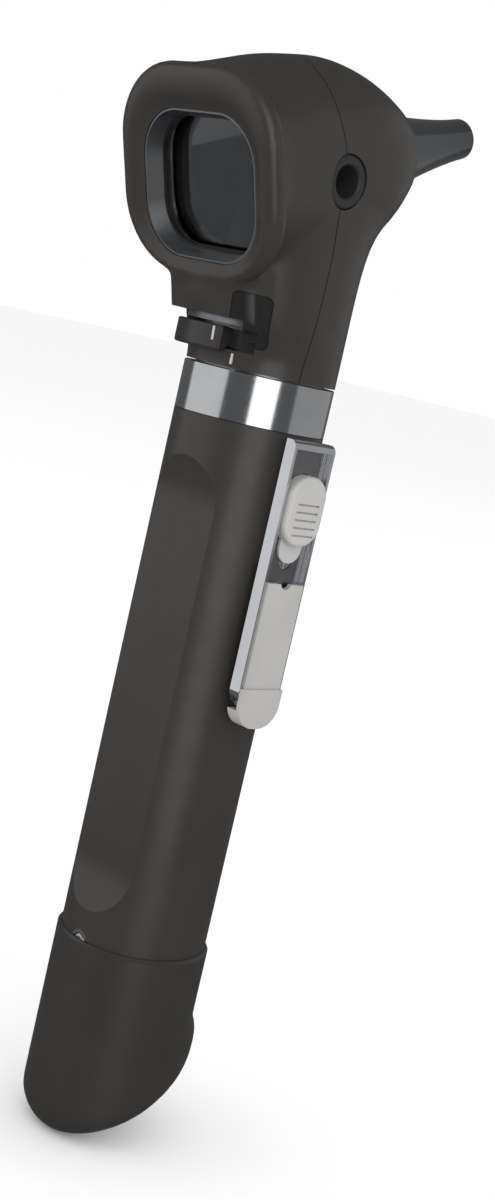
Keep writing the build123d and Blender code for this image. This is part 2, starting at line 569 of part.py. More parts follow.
# ---------------------------------------------------------------- port
def make_port():
    along_x = Plane(origin=(0, SEAM_Y, height(PORT_HEIGHT)), x_dir=(0, 1, 0), z_dir=(1, 0, 0))
    flange = along_x * Pos(0, 0, PORT_FACE - 1.2) * extrude(Circle(PORT_R), 1.2 + PORT_PROUD)
    flange = fillet(flange.edges().filter_by(GeomType.CIRCLE).sort_by(Axis.X)[-1], 0.6)
    body = flange + along_x * Pos(0, 0, PORT_FACE - 4.2) * extrude(Circle(PORT_NECK_R), 3.2)
    body -= along_x * extrude(Circle(PORT_BORE_R), 30)
    body = chamfer(body.edges().filter_by(GeomType.CIRCLE).group_by(Axis.X)[-1].sort_by(SortBy.RADIUS)[0], 0.25)
    insert = Circle(PORT_NECK_R - 0.3) - Circle(PORT_BORE_R - 0.5)
    pipe = along_x * Pos(0, 0, PORT_FACE - 6.4) * extrude(insert, 2.15)
    return body, pipe


# ---------------------------------------------------------------- speculum and its seat
def speculum_radius(ahead):
    """Outer radius of the speculum: a cone that flares gently towards its foot."""
    span = (ahead - SPECULUM_FOOT) / (SPECULUM_END - SPECULUM_FOOT)
    return SPECULUM_TIP_R + (SPECULUM_BASE_R - SPECULUM_TIP_R) * (1 - span) ** SPECULUM_FLARE


def make_speculum():
    count = 6
    step = (SPECULUM_END - SPECULUM_FOOT) / count
    stations = [SPECULUM_FOOT + i * step for i in range(count + 1)]
    outer = [(speculum_radius(s), s) for s in stations]
    inner = [(speculum_radius(s) - SPECULUM_WALL, s) for s in stations]
    side = Plane(origin=OPTICAL_POINT, x_dir=OPTICAL_UP, z_dir=(-1, 0, 0))
    edges = [Spline(*outer), Spline(*inner), Line(outer[0], inner[0]), Line(outer[-1], inner[-1])]
    profile = side * make_face(edges)
    cone = revolve(profile, Axis(OPTICAL_POINT, OPTICAL_AXIS), 360)
    tip_edges = cone.edges().filter_by(GeomType.CIRCLE).sort_by(Axis(OPTICAL_POINT, OPTICAL_AXIS))[-2:]
    return fillet(tip_edges, 0.3)


def make_tip_holder():
    """Hollow cone that the speculum sits on, with a flange behind the nose."""
    first = SPECULUM_FOOT + 1.2
    step = (HOLDER_END - first) / 5
    stations = [first + i * step for i in range(6)]
    seat = [(speculum_radius(s) - SPECULUM_WALL - TIP_GAP, s) for s in stations]
    corners = [
        seat[-1], (HOLDER_BORE_R, HOLDER_END), (HOLDER_BORE_R, FLANGE_BACK), (FLANGE_R, FLANGE_BACK),
        (FLANGE_R, FLANGE_BACK + 1.4), (seat[0][0], FLANGE_BACK + 1.4), seat[0]]
    side = Plane(origin=OPTICAL_POINT, x_dir=OPTICAL_UP, z_dir=(-1, 0, 0))
    profile = side * make_face([Spline(*seat), Polyline(*corners)])
    return revolve(profile, Axis(OPTICAL_POINT, OPTICAL_AXIS), 360)


def make_fibre_ring():
    low = HOLDER_END + 0.05
    return optical_round([
        (HOLDER_BORE_R, low), (HOLDER_BORE_R + 0.45, low), (HOLDER_BORE_R + 0.45, low + 0.8), (HOLDER_BORE_R, low + 0.8)])


# ---------------------------------------------------------------- light
def make_lamp():
    insulator = tube(SLEEVE_BORE_R - FIT, 1.2, height(1.6), height(2.9))
    pin = cylinder(1.1, CELL_TOP + 0.03, height(7.0))
    sink = tube(SLEEVE_BORE_R - FIT, 1.3, height(3.0), height(7.0))
    for i in range(3):
        z = height(3.8 + i * 1.1)
        sink -= tube(SLEEVE_BORE_R + 1, SLEEVE_BORE_R - 1.6, z, z + 0.5)
    board = cylinder(5.2, height(7.05), height(7.85))
    lamp = board + cylinder(1.7, height(7.85), height(8.6)) + Pos(0, 0, height(8.6)) * Sphere(1.5)
    return insulator, pin, sink, lamp


def make_light_guide():
    """Fibre bundle from over the lamp to the back of the tip holder's flange."""
    end = OPTICAL_POINT + OPTICAL_AXIS * (FLANGE_BACK - 0.1) - OPTICAL_UP * GUIDE_END_DROP
    before = end - OPTICAL_AXIS * 4.5
    start = Vector(0, 0, height(10.4))
    rise = Vector(0, 0, height(14.0))
    path = FilletPolyline(start, rise, before, end, radius=[4.0, 3.0])
    return sweep(Plane(origin=start, z_dir=(0, 0, 1)) * Circle(1.2), path)


# ---------------------------------------------------------------- lever and neck
def make_neck_sleeve():
    sleeve = tube(SLEEVE_R, SLEEVE_BORE_R, SEAT - PLUG_LENGTH, height(SLEEVE_TOP))
    guide = sector(SLEEVE_R - 0.5, GUIDE_R, height(WINDOW_TOP - 0.85), height(WINDOW_TOP + 1.2),
                   LEVER_WINDOW[0] + 2, LEVER_WINDOW[1] - 2)
    return sleeve + guide


def make_lever():
    low = height(LEVER_LOW)
    high = height(LEVER_LOW + LEVER_HEIGHT)
    ring = tube(RING_R, SLEEVE_R + FIT, low, high)
    outline = Polyline(
        (RING_R - 0.3, low), (HANDLE_R + LEVER_PROUD - 0.7, low), (HANDLE_R + LEVER_PROUD, low + 0.6),
        (HANDLE_R + LEVER_PROUD + 0.2, high), (RING_R - 0.3, high), close=True)
    tab = Rot(0, 0, LEVER_START) * revolve(Plane.XZ * make_face(outline), Axis.Z, LEVER_SPAN)
    uprights = tab.edges().filter_by(lambda e: abs(e.tangent_at(0.5).Z) > 0.7)
    outer = [e for e in uprights if Vector(e.center().X, e.center().Y, 0).length > HANDLE_R + 1]
    tab = fillet(outer, 0.8)
    mark = box((HANDLE_R + LEVER_PROUD - 0.6, HANDLE_R + LEVER_PROUD + 0.5), (-MARK_WIDTH / 2, MARK_WIDTH / 2),
               (low + 0.5, high - 0.2))
    mark = Rot(0, 0, LEVER_MARK_AZIMUTH) * mark
    inlay = mark & tab
    return ring + (tab - mark), inlay


# ---------------------------------------------------------------- all nodes
def build():
    rear, front = make_head_shells()
    bush, pin, catch_spring = make_catch()
    bezel, frame, gasket, lens = make_eyepiece()
    port, pipe = make_port()
    insulator, contact_pin, sink, lamp = make_lamp()
    lever, lever_mark = make_lever()
    wiper, strip = make_switch_contacts()
    outer = make_head_outer()
    badge = badge_prism(0) & (outer - neck(BADGE_THICK - TRIM_GAP) - barrel(BADGE_THICK - TRIM_GAP))
    badge -= lever_openings(TRIM_GAP)
    shell_mark = index_prism(0)
    screws = [screw_at(place, HEAD_SCREW_R - 0.05, 5.5, 0) for place in HEAD_SCREWS]
    return {
        "handle_tube": make_handle_tube(),
        "collar": make_collar(),
        "cell_lower": make_cell(CELL_FOOT),
        "cell_upper": make_cell(CELL_FOOT + CELL_LENGTH),
        "cell_liner": tube(TUBE_BORE_R - FIT, TUBE_BORE_R - FIT - LINER_WALL, CELL_FOOT + 2, SEAT - PLUG_LENGTH - 0.3),
        "cap_seal": make_seal(),
        "catch_bush": bush,
        "catch_pin": pin,
        "catch_spring": catch_spring,
        "tail_cap": make_tail_cap(),
        "tail_contact": cylinder(SPRING_R + 1.4, 0.02 - CAP_FLOOR, TAIL_CONTACT_THICK - CAP_FLOOR),
        "tail_spring": make_tail_spring(),
        "clip_channel": make_clip_channel(),
        "clip_track": make_clip_track(),
        "clip_cover": make_clip_cover(),
        "clip_screws": make_clip_screws(),
        "switch_slider": make_slider(),
        "switch_wiper": wiper,
        "contact_strip": strip,
        "head_rear_shell": rear,
        "head_front_shell": front,
        "head_screws": screws,
        "badge_plate": badge,
        "shell_index_mark": shell_mark,
        "eyepiece_bezel": bezel,
        "lens_frame": frame,
        "lens_gasket": gasket,
        "viewing_lens": lens,
        "insufflator_port": port,
        "port_pipe": pipe,
        "tip_holder": make_tip_holder(),
        "fibre_ring": make_fibre_ring(),
        "light_guide": make_light_guide(),
        "lamp_insulator": insulator,
        "lamp_contact_pin": contact_pin,
        "heat_sink": sink,
        "led_module": lamp,
        "neck_sleeve": make_neck_sleeve(),
        "lock_lever": lever,
        "lever_index_mark": lever_mark,
        "speculum": make_speculum(),
    }


os.makedirs("parts", exist_ok=True)
for name, shape in build().items():
    solids = []
    for piece in (shape if isinstance(shape, list) else [shape]):
        solids.extend(piece.solids())
    export_step(Compound(label=name, children=solids) if len(solids) > 1 else solids[0], f"parts/{name}.step")
    print(f"{name:20s} {len(solids)} solid(s) {sum(s.volume for s in solids):9.1f} mm3")
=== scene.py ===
# %% [markdown]
# # A pocket otoscope, dressed for the camera
#
# The working model (tubes, shells, joints) is already packed as a frame. This lesson loads it,
# rebuilds the pieces whose looks matter most (the moulded head shells, the badge, the lock lever
# and the tail cap) and gives every piece a finish made from nodes.

# %% Load the frame
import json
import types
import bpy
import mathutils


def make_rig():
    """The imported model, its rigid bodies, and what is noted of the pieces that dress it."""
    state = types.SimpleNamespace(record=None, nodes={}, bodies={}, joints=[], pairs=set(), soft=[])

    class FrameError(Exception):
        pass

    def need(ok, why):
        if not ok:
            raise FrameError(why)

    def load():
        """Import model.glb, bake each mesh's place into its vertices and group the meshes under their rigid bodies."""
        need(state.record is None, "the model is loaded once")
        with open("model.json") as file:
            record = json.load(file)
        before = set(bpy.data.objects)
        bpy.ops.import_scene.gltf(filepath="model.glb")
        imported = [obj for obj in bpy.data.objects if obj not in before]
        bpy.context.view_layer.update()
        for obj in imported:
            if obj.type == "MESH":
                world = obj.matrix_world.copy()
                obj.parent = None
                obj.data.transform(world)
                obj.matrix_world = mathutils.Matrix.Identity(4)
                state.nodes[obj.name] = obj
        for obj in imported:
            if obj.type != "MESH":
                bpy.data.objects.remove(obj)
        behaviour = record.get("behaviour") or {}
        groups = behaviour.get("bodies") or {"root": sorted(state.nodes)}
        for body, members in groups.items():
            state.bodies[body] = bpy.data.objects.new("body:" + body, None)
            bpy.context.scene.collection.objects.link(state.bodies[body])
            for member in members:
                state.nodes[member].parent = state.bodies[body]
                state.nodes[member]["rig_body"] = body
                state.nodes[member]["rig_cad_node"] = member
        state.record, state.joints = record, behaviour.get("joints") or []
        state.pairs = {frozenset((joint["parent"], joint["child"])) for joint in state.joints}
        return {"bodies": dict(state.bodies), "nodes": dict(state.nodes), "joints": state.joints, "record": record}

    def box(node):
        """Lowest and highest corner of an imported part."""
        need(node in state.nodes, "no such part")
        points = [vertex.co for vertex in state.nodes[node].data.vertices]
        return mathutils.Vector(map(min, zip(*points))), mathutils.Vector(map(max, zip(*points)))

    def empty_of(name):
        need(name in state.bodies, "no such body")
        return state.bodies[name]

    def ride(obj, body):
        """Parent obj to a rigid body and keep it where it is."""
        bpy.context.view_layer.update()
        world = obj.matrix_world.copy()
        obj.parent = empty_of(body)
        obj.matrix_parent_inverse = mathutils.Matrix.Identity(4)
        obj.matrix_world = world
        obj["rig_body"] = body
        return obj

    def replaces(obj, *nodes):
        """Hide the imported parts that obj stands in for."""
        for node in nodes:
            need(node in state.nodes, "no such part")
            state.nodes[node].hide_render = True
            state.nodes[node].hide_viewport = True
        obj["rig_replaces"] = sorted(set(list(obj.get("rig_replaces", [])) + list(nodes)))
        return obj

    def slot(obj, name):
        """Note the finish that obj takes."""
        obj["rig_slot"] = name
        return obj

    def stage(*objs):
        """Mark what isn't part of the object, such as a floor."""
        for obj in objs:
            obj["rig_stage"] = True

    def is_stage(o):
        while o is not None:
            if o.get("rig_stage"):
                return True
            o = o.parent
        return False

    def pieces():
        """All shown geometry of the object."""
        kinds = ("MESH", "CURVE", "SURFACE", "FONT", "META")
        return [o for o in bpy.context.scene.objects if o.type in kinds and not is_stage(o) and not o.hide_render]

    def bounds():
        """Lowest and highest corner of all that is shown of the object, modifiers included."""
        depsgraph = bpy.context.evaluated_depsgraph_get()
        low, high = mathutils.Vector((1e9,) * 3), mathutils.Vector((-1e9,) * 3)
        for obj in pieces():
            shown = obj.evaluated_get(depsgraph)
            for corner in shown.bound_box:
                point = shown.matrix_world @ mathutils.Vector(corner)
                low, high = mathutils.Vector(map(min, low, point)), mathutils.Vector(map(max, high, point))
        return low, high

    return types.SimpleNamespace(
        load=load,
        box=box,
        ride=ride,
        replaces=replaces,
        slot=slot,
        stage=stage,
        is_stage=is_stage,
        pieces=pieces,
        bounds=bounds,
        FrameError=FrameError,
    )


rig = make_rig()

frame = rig.load()
cad_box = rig.bounds()

import json
import bpy
from math import cos, pi, radians, sin, tan
from mathutils import Matrix, Vector

MM = 0.001
print(len(frame["nodes"]), "nodes in", len(frame["bodies"]), "bodies")

# %% [markdown]
# ## Where things are
#
# Positions come from the frame. The handle's axis is Z. The head is built round a second line,
# the optical axis, which tilts up towards the speculum: its place and slope are those of the
# speculum's seat. Shapes that belong to it are modelled upright, with the optical axis as Z, and
# then turned into place in one go, because a circle is easiest to shape when it lies flat.

# %% Reference values
mounts = {m["name"]: m for m in frame["record"]["mounts"]}
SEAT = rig.box("collar")[1].z
HANDLE_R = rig.box("collar")[1].x
AXIS = Vector(mounts["speculum_seat"]["axis"]).normalized()
UP = Vector((0, -AXIS.z, AXIS.y))
seat_point = Vector(mounts["speculum_seat"]["pos_m"])
CENTRE = seat_point - AXIS * (seat_point.y / AXIS.y)
ACROSS = Vector((-1, 0, 0))
TO_OPTICAL = Matrix((
    (ACROSS.x, UP.x, AXIS.x, CENTRE.x), (ACROSS.y, UP.y, AXIS.y, CENTRE.y),
    (ACROSS.z, UP.z, AXIS.z, CENTRE.z), (0, 0, 0, 1)))
port = mounts["insufflator_port"]
PORT_POINT = Vector(port["pos_m"])
TO_PORT = Matrix.Translation((0, PORT_POINT.y, PORT_POINT.z)) @ Matrix.Rotation(pi / 2, 4, "Y")
print("optical axis meets the handle axis at", [round(c / MM, 2) for c in CENTRE])

# %% [markdown]
# ## Small tools
#
# Each tool is one move that a modeller makes by hand: pick nothing, add a primitive, extrude and
# scale it along a line, spin a profile, cut one body with another. Operators act on what is
# selected, so each tool starts by deselecting everything.

# %% Tools for modelling
SMOOTH_ANGLE = 38                         # degrees; sharper edges stay sharp
WIDE = 40                                 # half the width of a cutter wider than the object
FAR = 60                                  # reach of a cutter that runs out past the object
PAST = 5                                  # how far a cutter passes the faces that it cuts


def pick(*objects):
    """Select only these objects and make the first one active."""
    if bpy.context.object and bpy.context.object.mode != "OBJECT":
        bpy.ops.object.mode_set(mode="OBJECT")
    bpy.ops.object.select_all(action="DESELECT")
    for piece in objects:
        piece.select_set(True)
    bpy.context.view_layer.objects.active = objects[0]


def name_it(name):
    piece = bpy.context.object
    piece.name = name
    piece.data.name = name
    return piece


def place(piece, matrix=None):
    """Turn a piece into place and bake that place into its mesh."""
    pick(piece)
    if matrix is not None:
        piece.matrix_world = matrix @ piece.matrix_world
    bpy.ops.object.transform_apply(location=True, rotation=True, scale=True)
    return piece


def clean(piece, distance=0.002):
    """Merge doubles and turn every face outwards."""
    pick(piece)
    bpy.ops.object.mode_set(mode="EDIT")
    bpy.ops.mesh.select_all(action="SELECT")
    bpy.ops.mesh.remove_doubles(threshold=distance * MM)
    bpy.ops.mesh.normals_make_consistent(inside=False)
    bpy.ops.object.mode_set(mode="OBJECT")
    return piece


def apply_modifier(piece, kind, **settings):
    pick(piece)
    modifier = piece.modifiers.new(kind.lower(), kind)
    for key, value in settings.items():
        setattr(modifier, key, value)
    bpy.ops.object.modifier_apply(modifier=modifier.name)
    return piece


def cut(piece, cutter, operation="DIFFERENCE", keep_cutter=False):
    """Boolean of two closed bodies."""
    apply_modifier(piece, "BOOLEAN", object=cutter, operation=operation, solver="MANIFOLD")
    if not keep_cutter:
        bpy.data.objects.remove(cutter)
    return piece


def copy_of(piece, name):
    twin = piece.copy()
    twin.data = piece.data.copy()
    twin.name = name
    bpy.context.collection.objects.link(twin)
    return twin


def joined(pieces, name):
    pick(*pieces)
    bpy.ops.object.join()
    return name_it(name)


def melt(piece, voxel, passes):
    """Fuse overlapping bodies into one skin and soften every crease between them."""
    apply_modifier(piece, "REMESH", mode="VOXEL", voxel_size=voxel * MM, adaptivity=0.0)
    apply_modifier(piece, "SMOOTH", factor=0.5, iterations=passes)
    return piece


def round_edges(piece, width, segments=3, angle=30):
    apply_modifier(piece, "BEVEL", width=width * MM, segments=segments, limit_method="ANGLE",
                   angle_limit=radians(angle), harden_normals=False)
    return piece


def smooth(piece, angle=SMOOTH_ANGLE):
    pick(piece)
    bpy.ops.object.shade_smooth_by_angle(angle=radians(angle))
    return piece


def block(name, x, y, z):
    """Box from its (low, high) spans in millimetres."""
    middle = [(s[0] + s[1]) / 2 * MM for s in (x, y, z)]
    bpy.ops.mesh.primitive_cube_add(size=1, location=middle)
    piece = name_it(name)
    piece.scale = [(s[1] - s[0]) * MM for s in (x, y, z)]
    return place(piece)


def stacked(name, sections, sides=96):
    """Loft: a disc extruded from section to section, each (along, half x, half y, y shift) in mm."""
    along, half_x, half_y, shift = sections[0]
    bpy.ops.mesh.primitive_circle_add(vertices=sides, radius=MM, fill_type="NGON",
                                      location=(0, shift * MM, along * MM))
    piece = name_it(name)
    bpy.ops.object.transform_apply(location=True)
    bpy.ops.object.mode_set(mode="EDIT")
    bpy.ops.mesh.select_all(action="SELECT")
    bpy.ops.transform.resize(value=(half_x, half_y, 1), center_override=(0, shift * MM, along * MM))
    for before, after in zip(sections, sections[1:]):
        move = (0, (after[3] - before[3]) * MM, (after[0] - before[0]) * MM)
        bpy.ops.mesh.extrude_region_move(TRANSFORM_OT_translate={"value": move})
        grow = (after[1] / before[1], after[2] / before[2], 1)
        bpy.ops.transform.resize(value=grow, center_override=(0, after[3] * MM, after[0] * MM))
    bpy.ops.object.mode_set(mode="OBJECT")
    return clean(piece)


def turned(name, profile, steps=128):
    """Lathe work: a closed (radius, along) outline in mm, spun once round Z."""
    bpy.ops.mesh.primitive_plane_add(size=MM)
    piece = name_it(name)
    bpy.ops.object.mode_set(mode="EDIT")
    bpy.ops.mesh.select_all(action="SELECT")
    bpy.ops.mesh.merge(type="CENTER")
    bpy.ops.transform.translate(value=(profile[0][0] * MM, 0, profile[0][1] * MM))
    for before, after in zip(profile, profile[1:] + profile[:1]):
        move = ((after[0] - before[0]) * MM, 0, (after[1] - before[1]) * MM)
        bpy.ops.mesh.extrude_region_move(TRANSFORM_OT_translate={"value": move})
    bpy.ops.mesh.select_all(action="SELECT")
    bpy.ops.mesh.remove_doubles(threshold=1e-6)
    bpy.ops.mesh.spin(steps=steps, angle=2 * pi, center=(0, 0, 0), axis=(0, 0, 1))
    bpy.ops.object.mode_set(mode="OBJECT")
    return clean(piece)


def rounded_prism(name, width, tall, corner, low, high, lift=0.0, sides=16):
    """Rounded rectangle across Z, from 'low' to 'high', in mm."""
    piece = block(name, (-width / 2, width / 2), (lift - tall / 2, lift + tall / 2), (low, high))
    pick(piece)
    bpy.ops.object.mode_set(mode="EDIT")
    bpy.ops.mesh.select_mode(type="EDGE")
    bpy.ops.mesh.select_all(action="DESELECT")
    bpy.ops.object.mode_set(mode="OBJECT")
    for edge in piece.data.edges:
        a, b = (piece.data.vertices[i].co for i in edge.vertices)
        edge.select = abs(a.z - b.z) > 1e-6
    bpy.ops.object.mode_set(mode="EDIT")
    bpy.ops.mesh.bevel(offset=corner * MM, segments=sides, affect="EDGES")
    bpy.ops.mesh.select_mode(type="VERT")
    bpy.ops.object.mode_set(mode="OBJECT")
    return clean(piece)


def smooth_between(table, count):
    """Rows of a table, filled in by a smooth curve, spaced evenly along the first column."""
    rows = []
    for i in range(count):
        along = table[0][0] + (table[-1][0] - table[0][0]) * i / (count - 1)
        k = max(j for j in range(len(table) - 1) if table[j][0] <= along + 1e-9)
        p1, p2 = table[k], table[k + 1]
        p0, p3 = table[max(k - 1, 0)], table[min(k + 2, len(table) - 1)]
        span = p2[0] - p1[0]
        t = (along - p1[0]) / span
        row = [along]
        for c in range(1, len(p1)):
            m1 = (p2[c] - p0[c]) / (p2[0] - p0[0]) * span
            m2 = (p3[c] - p1[c]) / (p3[0] - p1[0]) * span
            row.append((2 * t**3 - 3 * t**2 + 1) * p1[c] + (t**3 - 2 * t**2 + t) * m1
                       + (3 * t**2 - 2 * t**3) * p2[c] + (t**3 - t**2) * m2)
        rows.append(tuple(row))
    return rows


def sector(name, inner, outer, low, high, start, end):
    """Part of a ring between two azimuths, in degrees from +X, trimmed by two half spaces."""
    ring = turned(name, [(inner, low), (outer, low), (outer, high), (inner, high)])
    reach = (-2 * outer, 2 * outer)
    for azimuth, side in ((start, (0, 3 * outer)), (end, (-3 * outer, 0))):
        half = block("half_space", reach, side, (low - PAST, high + PAST))
        cut(ring, place(half, Matrix.Rotation(radians(azimuth), 4, "Z")), "INTERSECT")
    return clean(ring)


def report(piece):
    print(piece.name, len(piece.data.polygons), "faces")


# %% [markdown]
# ## The moulded head
#
# On the real instrument the head is two thin shells of dark plastic. Its outside is one flowing
# surface: an oval barrel round the optical axis, a neck that grows out of the round collar, and
# a thick rounded plate round the viewing window. Drawing that surface face by face is slow, and
# creases between lofts never quite vanish. Here the three simple bodies are built separately,
# fused by a voxel remesh and softened by a smoothing pass, which melts the creases into the
# fillets that a mould has. All openings are cut afterwards, so that their edges stay crisp.

# %% Sizes of the head
WALL = 1.6
PLATE_BACK = -21.7
PLATE = (30.6, 28.4, 10.5, 1.75)          # width, height, corner, lift above the optical axis
PLATE_THICK = 3.6
PLATE_ROUND = 1.9
WINDOW = (22.0, 19.9, 7.0)                # width, height, corner
BEZEL_RECESS = 1.2
WINDOW_END = -15.5
BARREL = (                                # ahead, half width, half height, lift
    (-18.6, 13.9, 14.1, 1.8), (-17.0, 13.2, 14.3, 1.6), (-14.0, 12.5, 14.9, 1.1),
    (-9.0, 11.9, 15.5, 0.6), (-3.25, 11.2, 15.4, 0.2), (2.0, 11.0, 14.7, 0.1),
    (7.0, 10.5, 12.9, 0.1), (11.0, 9.5, 10.8, 0.0), (14.0, 8.1, 8.7, 0.0), (15.8, 7.1, 7.3, 0.0))
SEAT_MM = SEAT / MM
NECK = (                                  # height, half width, half depth, shift
    (-7.0, 11.03, 11.03, 0.0), (2.4, 11.03, 11.03, 0.0), (7.0, 11.25, 12.95, -1.55),
    (12.0, 11.45, 13.7, -2.3), (18.0, 11.4, 14.2, -2.4), (22.5, 11.0, 15.3, -1.9),
    (26.0, 10.7, 16.3, -0.3), (29.0, 10.3, 16.9, 0.95))
NECK = tuple((SEAT_MM + z, a, b, shift) for z, a, b, shift in NECK)
CHIN = (17.8, 12.2, 4.6, -7.5)            # width, depth, corner, middle
CHIN_SPAN = (5.5, 14.0)
CHIN_LEAN = -2.9
MOUTH_FLARE = (1.17, 1.19, 1)             # how much wider the mouth is at its front
MOUTH_ROOM = 0.15                         # the mouth clears the window's outline by this
VOXEL = 0.42
MELT_PASSES = 14
LOFT_ROWS = 20

# %% [markdown]
# ## The head's outer form
#
# The barrel and the neck are lofts through a few rows of sizes, and the chin and the plate are
# rounded blocks. All four overlap, so the remesh can swallow the faces between them. The mouth is
# cut before the smoothing, since on the real plate its edge rolls inwards without a crease.

# %% Build the head's outer form
def inset(sections, amount):
    return [(along, a - amount, b - amount, shift) for along, a, b, shift in sections]


def barrel_body(name, amount=0.0):
    return place(stacked(name, inset(smooth_between(BARREL, LOFT_ROWS), amount)), TO_OPTICAL)


def neck_body(name, amount=0.0):
    return stacked(name, inset(smooth_between(NECK, LOFT_ROWS), amount))


def move_where(piece, test, operator, **settings):
    """Select the vertices that pass a test and run one edit-mode operator on them."""
    pick(piece)
    bpy.ops.object.mode_set(mode="EDIT")
    bpy.ops.mesh.select_mode(type="VERT")
    bpy.ops.mesh.select_all(action="DESELECT")
    bpy.ops.object.mode_set(mode="OBJECT")
    for vertex in piece.data.vertices:
        vertex.select = test(vertex.co)
    bpy.ops.object.mode_set(mode="EDIT")
    operator(**settings)
    bpy.ops.object.mode_set(mode="OBJECT")
    return piece


def chin_body():
    """The squarer muzzle under the eyepiece, leaning forward as it rises."""
    low, high = (SEAT_MM + z for z in CHIN_SPAN)
    chin = rounded_prism("chin", CHIN[0], CHIN[1], CHIN[2], low, high, CHIN[3])
    middle = (low + high) / 2 * MM
    return move_where(chin, lambda co: co.z > middle, bpy.ops.transform.translate,
                      value=(0, CHIN_LEAN * MM, 0))


def head_form():
    plate = rounded_prism("plate", *PLATE[:3], PLATE_BACK, PLATE_BACK + PLATE_THICK, PLATE[3])
    round_edges(plate, PLATE_ROUND, 6)
    place(plate, TO_OPTICAL)
    form = joined([barrel_body("barrel"), neck_body("neck"), chin_body(), plate], "head_form")
    apply_modifier(form, "REMESH", mode="VOXEL", voxel_size=VOXEL * MM, adaptivity=0.0)
    mouth = rounded_prism("mouth", WINDOW[0] + 2 * MOUTH_ROOM, WINDOW[1] + 2 * MOUTH_ROOM,
                          WINDOW[2] + MOUTH_ROOM, 0, BEZEL_RECESS)
    move_where(mouth, lambda co: co.z < 0.1 * MM, bpy.ops.transform.resize, value=MOUTH_FLARE,
               center_override=(0, 0, 0))
    place(mouth, TO_OPTICAL @ Matrix.Translation((0, 0, (PLATE_BACK - 0.05) * MM)))
    cut(form, mouth)
    return melt(form, VOXEL, MELT_PASSES)


form = head_form()
report(form)

# %% [markdown]
# ## Openings of the head
#
# The cutters are the shapes that the real mould leaves open: the window, the nose bore, the
# round port, the lever's slot and the shallow pocket of the badge. The badge pocket has to follow
# the curved skin, so its cutter is a rounded block minus a copy of the form shrunk by the depth.

# %% Cut the openings
lever_low, lever_high = (c.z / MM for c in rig.box("lock_lever"))
WINDOW_TOP = SEAT_MM + 6.8
SLOT_LOW = lever_low - 0.2
SPIGOT_R = 9.5
RING_R = 10.2
LEVER_WINDOW = (-142.0, -60.5)
SIDE_SLOT = (-61.5, -53.0)
SIDE_SLOT_TALL = 1.6
OUTSIDE_R = 30                            # radius past the skin, for cutters that open it
SLEEVE_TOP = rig.box("neck_sleeve")[1].z / MM
BADGE_TURN = radians(-58.0)
BADGE_HEIGHT = SEAT_MM + 7.0
BADGE = (5.2, 7.0, 0.9)
BADGE_DEPTH = 0.6
GAP = 0.09
GUIDE_ROOM_R = 12.05
NOSE_BORE = (10, 25)                      # ahead, along the optical axis
PORT_BORE_R = 3.28
PORT_STEP = 9.4                           # from the middle out to the flange's seat
TO_BADGE = Matrix((
    (-sin(BADGE_TURN), 0, cos(BADGE_TURN), 0), (cos(BADGE_TURN), 0, sin(BADGE_TURN), 0),
    (0, 1, 0, BADGE_HEIGHT * MM), (0, 0, 0, 1)))


def shrunk(form, depth, name):
    """Copy of a form whose skin is moved inwards."""
    twin = copy_of(form, name)
    pick(twin)
    bpy.ops.object.mode_set(mode="EDIT")
    bpy.ops.mesh.select_all(action="SELECT")
    bpy.ops.transform.shrink_fatten(value=-depth * MM)
    bpy.ops.object.mode_set(mode="OBJECT")
    return twin


def badge_block(name, grow):
    prism = rounded_prism(name, BADGE[0] + 2 * grow, BADGE[1] + 2 * grow, BADGE[2] + grow, 5, 25)
    return place(prism, TO_BADGE)


def lever_gap(name, grow):
    """The lever's slot with its narrow run-on, made wider by 'grow' all round."""
    inner, low = SPIGOT_R - 1, SLOT_LOW - grow
    main = sector(name, inner, OUTSIDE_R, low, WINDOW_TOP + grow, *LEVER_WINDOW)
    run_on = sector("run_on", inner, OUTSIDE_R, low, SLOT_LOW + SIDE_SLOT_TALL + grow, *SIDE_SLOT)
    return cut(main, run_on, "UNION")


def turned_on(matrix, name, profile):
    return place(turned(name, profile), matrix)


badge = badge_block("badge", 0)
cut(badge, form, "INTERSECT", keep_cutter=True)
cut(badge, shrunk(form, BADGE_DEPTH - 0.05, "badge_floor"))
cut(badge, lever_gap("badge_trim", 0.12))

pocket = badge_block("pocket", GAP)
cut(pocket, shrunk(form, BADGE_DEPTH, "pocket_floor"))

shell = form
cut(shell, pocket)
cut(shell, block("below_seat", (-WIDE, WIDE), (-WIDE, WIDE), (SEAT_MM - 20, SEAT_MM + 0.25)))
above_slot = block("keep", (-WIDE, WIDE), (-WIDE, WIDE), (WINDOW_TOP + 1.2, SEAT_MM + WIDE))
hollow = cut(neck_body("hollow", WALL), above_slot, "INTERSECT")
cut(hollow, barrel_body("cavity", WALL), "UNION")
ahead_of_window = block("ahead_of_window", (-WIDE, WIDE), (-WIDE, WIDE), (WINDOW_END, FAR))
cut(hollow, place(ahead_of_window, TO_OPTICAL), "INTERSECT")
cut(shell, hollow)
cut(shell, turned("spigot_bore", [(0, SEAT_MM - 1), (SPIGOT_R, SEAT_MM - 1), (SPIGOT_R, SLEEVE_TOP + 0.2),
                                  (0, SLEEVE_TOP + 0.2)]))
groove_in, groove_out, groove_top = SPIGOT_R - 1, RING_R + 0.15, lever_high + 0.2
cut(shell, turned("ring_groove", [(groove_in, SLOT_LOW), (groove_out, SLOT_LOW),
                                  (groove_out, groove_top), (groove_in, groove_top)]))
cut(shell, lever_gap("slot", 0))
cut(shell, sector("guide_room", SPIGOT_R - 1, GUIDE_ROOM_R, WINDOW_TOP - 1, WINDOW_TOP + 1.4,
                  *LEVER_WINDOW))
cut(shell, place(rounded_prism("window", *WINDOW, PLATE_BACK - 3, WINDOW_END + 0.1), TO_OPTICAL))
